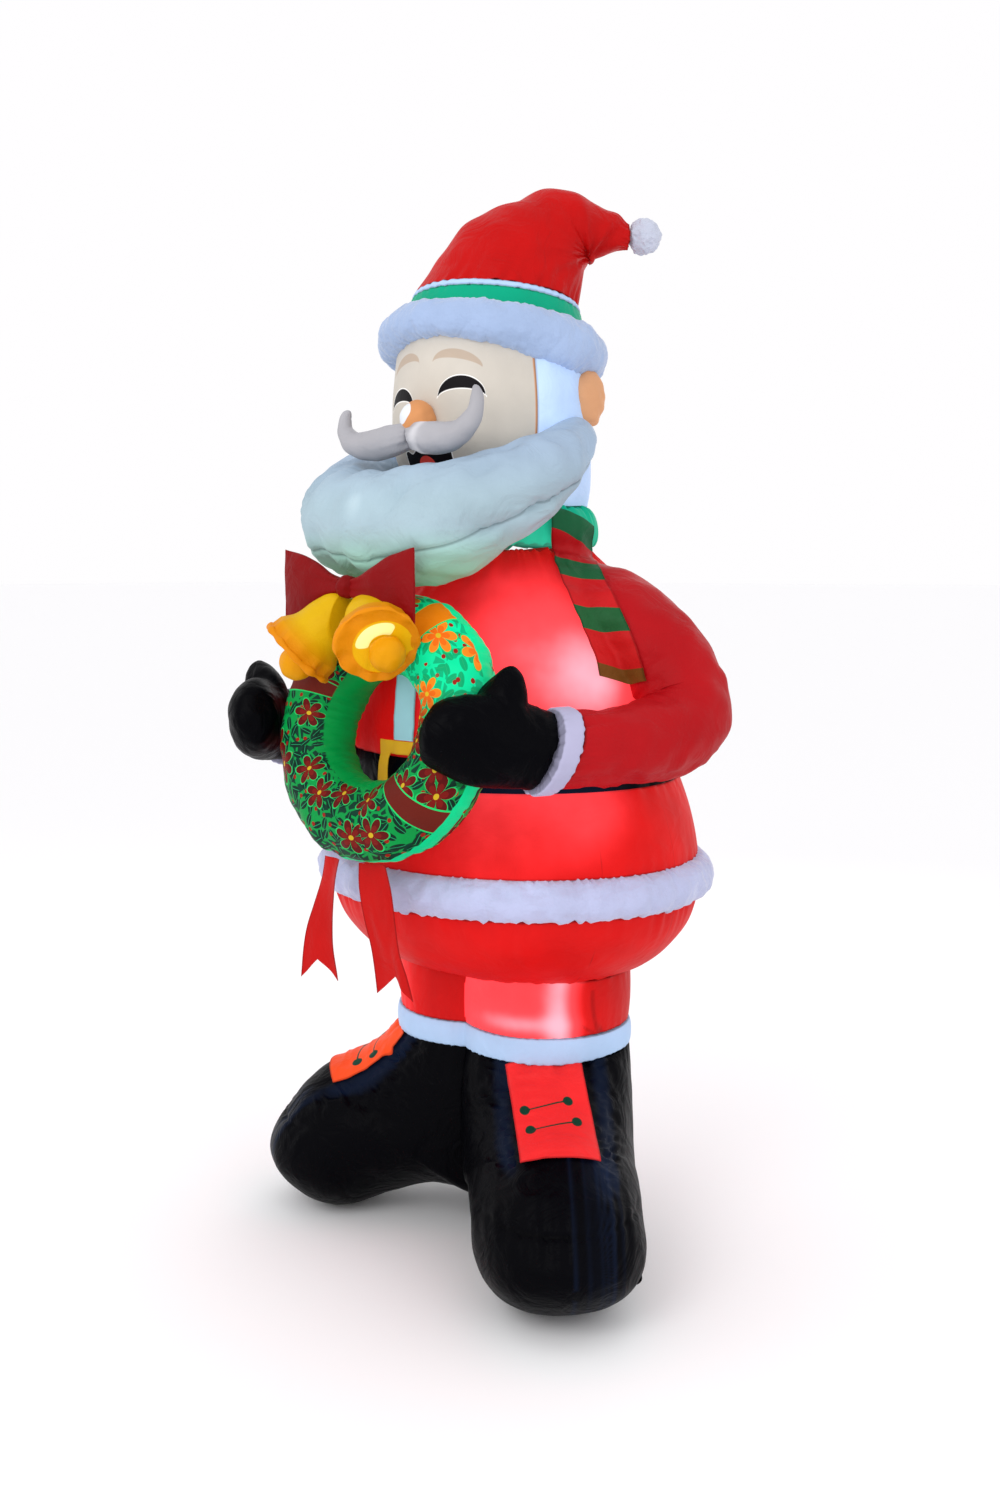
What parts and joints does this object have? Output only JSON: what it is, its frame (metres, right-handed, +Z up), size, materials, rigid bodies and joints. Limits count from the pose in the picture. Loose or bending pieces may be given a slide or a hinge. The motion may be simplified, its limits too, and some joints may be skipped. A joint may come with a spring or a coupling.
{
  "type": "inflatable santa figure",
  "caption": "Blow-up yard figure of a bearded man in a red suit and bent cone hat, who holds a wreath with bells and ribbon tails.",
  "frame": {"origin": "middle of the box's underside, on the ground the boots stand on", "axes": "+Z up; the figure faces -Y, and its left hand is at +X"},
  "size_m": [1.1668, 1.0872, 2.4253],
  "materials": {
    "red_cloth": "soft sheen of woven nylon",
    "boot_cloth": "soft sheen of woven nylon",
    "mitten_cloth": "soft sheen of woven nylon",
    "tongue_print": "soft sheen of woven nylon",
    "trim_plush": "matt short plush",
    "pale_cloth": "soft sheen of woven nylon",
    "placket_cloth": "soft sheen of woven nylon",
    "buckle_print": "soft sheen of woven nylon",
    "face_print": "soft sheen of woven nylon",
    "ear_cloth": "soft sheen of woven nylon",
    "nose_cloth": "soft sheen of woven nylon",
    "beard_cloth": "soft sheen of woven nylon",
    "moustache_cloth": "soft sheen of woven nylon",
    "band_cloth": "soft sheen of woven nylon",
    "scarf_print": "soft sheen of woven nylon",
    "wreath_print": "soft sheen of woven nylon",
    "bow_cloth": "soft sheen of woven nylon",
    "bell_cloth": "soft sheen of woven nylon",
    "ribbon_cloth": "soft sheen of woven nylon"
  },
  "bodies": {
    "root": {"coat_upper": "red_cloth", "coat_lower": "red_cloth", "coat_skirt": "red_cloth", "trousers": "red_cloth", "sleeve_left": "red_cloth", "sleeve_right": "red_cloth", "hat_cone": "red_cloth", "boot_left": "boot_cloth", "boot_right": "boot_cloth", "tether_loop": "boot_cloth", "mitten_left": "mitten_cloth", "mitten_right": "mitten_cloth", "belt": "mitten_cloth", "boot_tongue_left": "tongue_print", "boot_tongue_right": "tongue_print", "hem_trim": "trim_plush", "hat_brim": "trim_plush", "hat_pompom": "trim_plush", "trouser_cuff": "pale_cloth", "cuff_left": "pale_cloth", "cuff_right": "pale_cloth", "hat_band_white": "pale_cloth", "head": "pale_cloth", "placket_upper": "placket_cloth", "placket_lower": "placket_cloth", "belt_buckle": "buckle_print", "face_panel": "face_print", "ear_left": "ear_cloth", "ear_right": "ear_cloth", "nose": "nose_cloth", "beard": "beard_cloth", "moustache_left": "moustache_cloth", "moustache_right": "moustache_cloth", "hat_band_green": "band_cloth", "scarf_collar": "band_cloth", "scarf_tail": "scarf_print", "wreath": "wreath_print", "bow_knot": "bow_cloth", "bow_loop_left": "bow_cloth", "bow_loop_right": "bow_cloth", "bell_left": "bell_cloth", "bell_right": "bell_cloth", "bell_clapper_left": "bell_cloth", "bell_clapper_right": "bell_cloth", "ribbon_tail_left": "ribbon_cloth", "ribbon_tail_right": "ribbon_cloth"}
  },
  "joints": []
}
